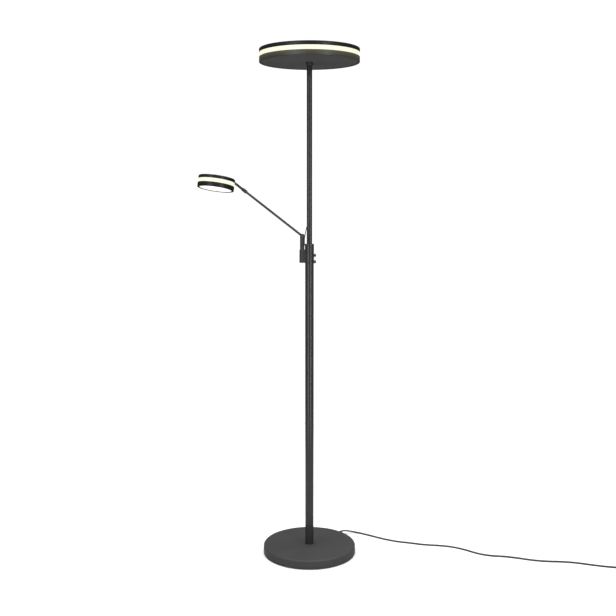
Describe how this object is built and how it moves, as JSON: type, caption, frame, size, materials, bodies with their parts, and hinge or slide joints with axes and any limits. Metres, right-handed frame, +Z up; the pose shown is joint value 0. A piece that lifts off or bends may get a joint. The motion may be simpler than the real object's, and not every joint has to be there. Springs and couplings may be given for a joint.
{
  "type": "torchiere floor lamp",
  "caption": "Torchiere floor lamp: disc uplighter with a lit edge band, two-stage round pole, weighted disc base and a swivelling reading lamp on an arm with rotary dimmers.",
  "frame": {"origin": "on the floor, on the pole's axis", "axes": "+Z up along the pole, +X toward the side of the dimmer knobs, -Y toward the front; the reading arm leaves on the -X side"},
  "size_m": [1.5793, 0.3589, 1.8],
  "materials": {
    "black_metal": "satin powder coat",
    "opal_band": "translucent opal, warm white when lit",
    "opal_diffuser": "frosted opal",
    "grey_iron": "as cast, blackened",
    "foam_pad": "dense foam rubber",
    "screw_steel": "zinc plated and blackened screws and pins",
    "sheet_aluminium": "mill finish sheet",
    "black_plastic": "fine satin moulding",
    "nylon": "moulded nylon",
    "circuit_board": "white solder mask",
    "driver_case": "plain moulded case",
    "cord_rubber": "smooth black cord sheath",
    "pin_brass": "nickel-washed brass"
  },
  "bodies": {
    "lamp": {"arm_bracket": "black_metal", "base_cover": "black_metal", "base_pad": "foam_pad", "base_screws": "screw_steel", "base_weight": "grey_iron", "bracket_screws": "screw_steel", "cord_clamp": "black_plastic", "cord_coil": "cord_rubber", "cord_end": "cord_rubber", "cord_gland": "black_plastic", "cord_tie": "black_plastic", "dimmer_board": "circuit_board", "dimmer_bodies": "driver_case", "dimmer_housing": "black_metal", "edge_led_strip": "circuit_board", "foot_plug": "screw_steel", "head_bottom_plate": "black_metal", "head_driver": "driver_case", "head_feed_lead": "cord_rubber", "head_hub": "black_metal", "head_lower_ring": "black_metal", "head_spacers": "sheet_aluminium", "head_top_ring": "black_metal", "hub_nut": "screw_steel", "inner_mains_lead": "cord_rubber", "lead_grommet": "black_plastic", "led_tray": "sheet_aluminium", "light_band": "opal_band", "lower_pole": "black_metal", "mains_plug": "black_plastic", "plug_pins": "pin_brass", "pole_cap": "black_metal", "pole_grub_screws": "screw_steel", "post_bush": "nylon", "post_retainer": "screw_steel", "power_cord": "cord_rubber", "reading_lead": "cord_rubber", "top_diffuser": "opal_diffuser", "top_led_board": "circuit_board", "upper_pole": "black_metal"},
    "post": {"swivel_post": "black_metal", "hinge_pin": "screw_steel", "hinge_washers": "nylon"},
    "arm": {"arm_eye": "black_metal", "arm_tube": "black_metal", "arm_stub": "screw_steel"},
    "knuckle": {"knuckle_fork": "black_metal", "knuckle_retainer": "screw_steel", "tilt_screw": "screw_steel"},
    "reading_head": {"head_stem": "black_metal", "stem_screw": "screw_steel", "reading_lower_ring": "black_metal", "reading_diffuser": "opal_diffuser", "reading_band": "opal_band", "reading_cup": "black_metal", "reading_led_board": "circuit_board"},
    "head_knob": {"head_dimmer_knob": "black_plastic", "head_dimmer_shaft": "screw_steel"},
    "reading_knob": {"reading_dimmer_knob": "black_plastic", "reading_dimmer_shaft": "screw_steel"}
  },
  "joints": [
    {"name": "post_swivel", "type": "hinge", "parent": "lamp", "child": "post", "pos_m": [-0.0256, 0, 1.13], "axis": [0, 0, 1], "range_deg": [-120, 85]},
    {"name": "arm_lift", "type": "hinge", "parent": "post", "child": "arm", "pos_m": [-0.0256, 0, 1.1582], "axis": [-0.342, 0.9397, 0], "range_deg": [-47, 33]},
    {"name": "head_twist", "type": "hinge", "parent": "arm", "child": "knuckle", "pos_m": [-0.22662, -0.07316, 1.31881], "axis": [-0.7515, -0.2735, 0.6004], "range_deg": [-96, 84]},
    {"name": "head_tilt", "type": "hinge", "parent": "knuckle", "child": "reading_head", "pos_m": [-0.22662, -0.07316, 1.31881], "axis": [-0.3991, 0.9131, -0.0836], "range_deg": [-80, 42]},
    {"name": "head_dimmer_turn", "type": "hinge", "parent": "lamp", "child": "head_knob", "pos_m": [0.02, 0, 1.09], "axis": [-1, 0, 0], "range_deg": [0, 270]},
    {"name": "reading_dimmer_turn", "type": "hinge", "parent": "lamp", "child": "reading_knob", "pos_m": [0.02, 0, 1.0675], "axis": [-1, 0, 0], "range_deg": [0, 270]}
  ]
}
